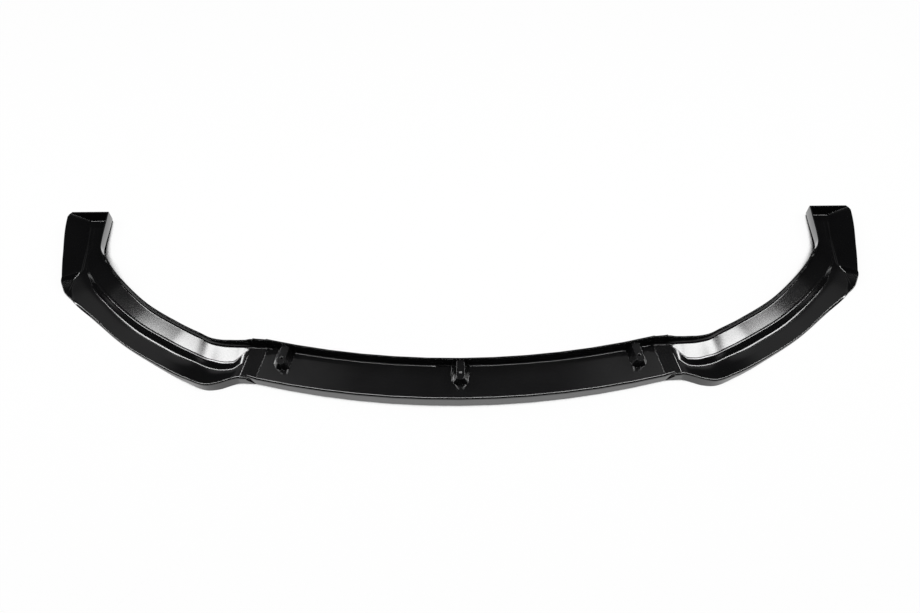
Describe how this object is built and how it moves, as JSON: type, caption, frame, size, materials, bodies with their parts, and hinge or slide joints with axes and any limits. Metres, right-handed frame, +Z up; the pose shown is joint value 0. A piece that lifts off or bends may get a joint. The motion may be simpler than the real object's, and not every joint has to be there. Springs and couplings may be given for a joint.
{
  "type": "front splitter lip",
  "caption": "Black moulded front splitter lip: a curved middle section lapped onto two swept side sections with a stepped blade and upturned end fins.",
  "frame": {"origin": "centre of the bounding box at ground level, where the lower edges stand", "axes": "+X across the car, +Y towards the rear of the car, +Z up"},
  "size_m": [1.8034, 0.4828, 0.0591],
  "materials": {
    "black_plastic": "satin black, as moulded"
  },
  "bodies": {
    "root": {"center_section": "black_plastic", "left_side_section": "black_plastic", "right_side_section": "black_plastic"}
  },
  "joints": []
}
